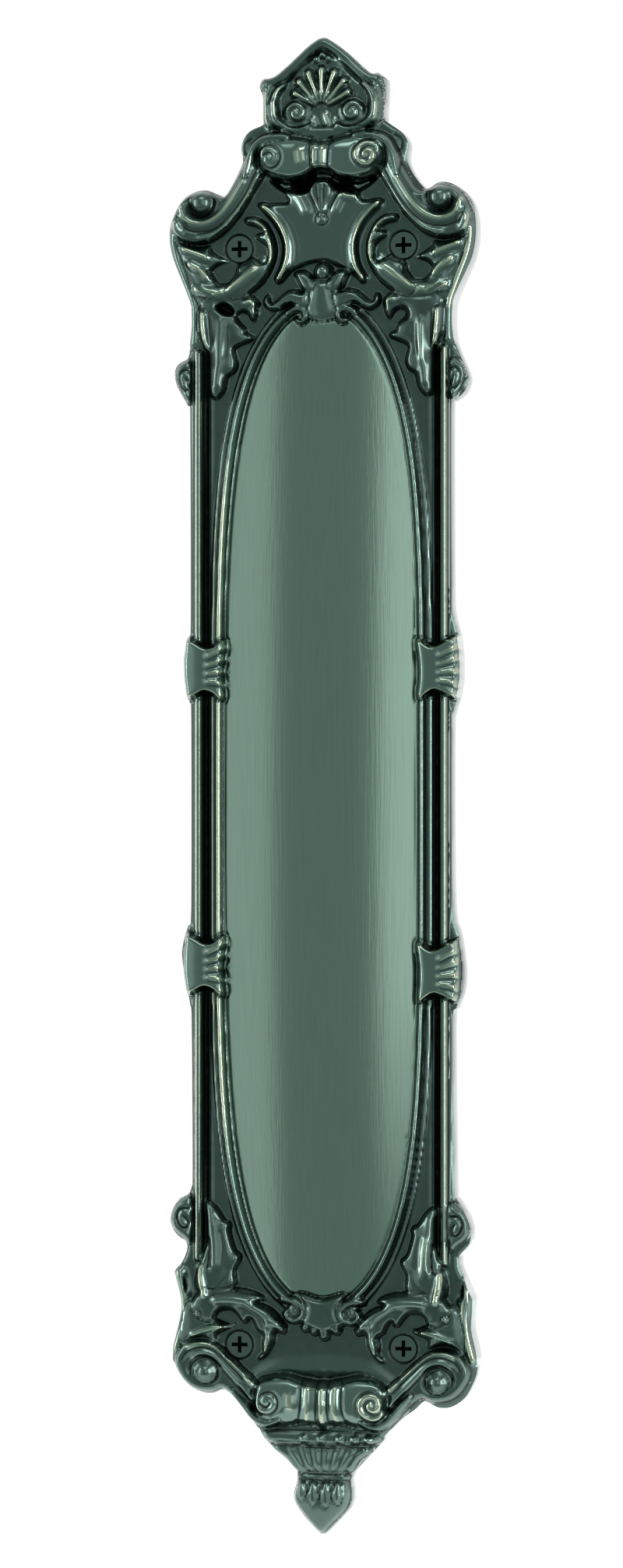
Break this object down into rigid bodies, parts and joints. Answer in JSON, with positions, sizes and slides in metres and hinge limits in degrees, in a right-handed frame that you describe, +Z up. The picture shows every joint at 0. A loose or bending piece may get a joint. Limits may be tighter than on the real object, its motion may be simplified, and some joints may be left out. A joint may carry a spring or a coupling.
{
  "type": "door finger plate",
  "caption": "Tall cast door finger plate with a smooth oval middle, carved scroll and leaf ends, reeded sides and countersunk fixing screws.",
  "frame": {"origin": "middle of the four fixing screws, on the plane of the back that lies on the door", "axes": "+Z up along the plate's length, +X to the right seen from the front, the front faces -Y and +Y runs into the door"},
  "size_m": [0.063, 0.021, 0.2986],
  "materials": {
    "cast_plate": "darkened satin nickel plate over cast brass",
    "screw_metal": "dull satin"
  },
  "bodies": {
    "root": {"finger_plate": "cast_plate", "fixing_screws": "screw_metal"}
  },
  "joints": []
}
